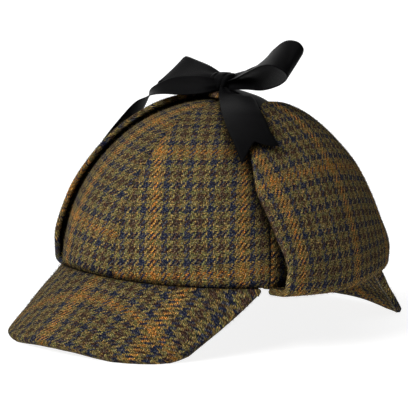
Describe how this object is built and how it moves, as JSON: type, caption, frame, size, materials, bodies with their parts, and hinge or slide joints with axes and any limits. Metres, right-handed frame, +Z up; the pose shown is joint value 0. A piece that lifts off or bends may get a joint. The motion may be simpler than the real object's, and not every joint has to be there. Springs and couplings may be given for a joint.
{
  "type": "deerstalker hat",
  "caption": "Check tweed hat with a peak in front and behind, its ear flaps turned up over the crown and tied on top with a black ribbon bow.",
  "frame": {"origin": "centre of the hat's plan box, on the surface that the hat stands on", "axes": "+Z up, the front peak points to -Y, the wearer's left is +X"},
  "size_m": [0.1914, 0.293, 0.1755],
  "materials": {
    "tweed": "matt woven wool, olive check",
    "button_tweed": "matt woven wool, rust",
    "ribbon": "black satin ribbon"
  },
  "bodies": {
    "root": {"crown": "tweed", "crown_button": "button_tweed", "front_peak": "tweed", "rear_peak": "tweed", "ear_flap_left": "tweed", "ear_flap_right": "tweed", "tie_left": "ribbon", "tie_right": "ribbon", "bow_knot": "ribbon", "bow_loop_left": "ribbon", "bow_loop_right": "ribbon", "bow_tail_left": "ribbon", "bow_tail_right": "ribbon"}
  },
  "joints": []
}
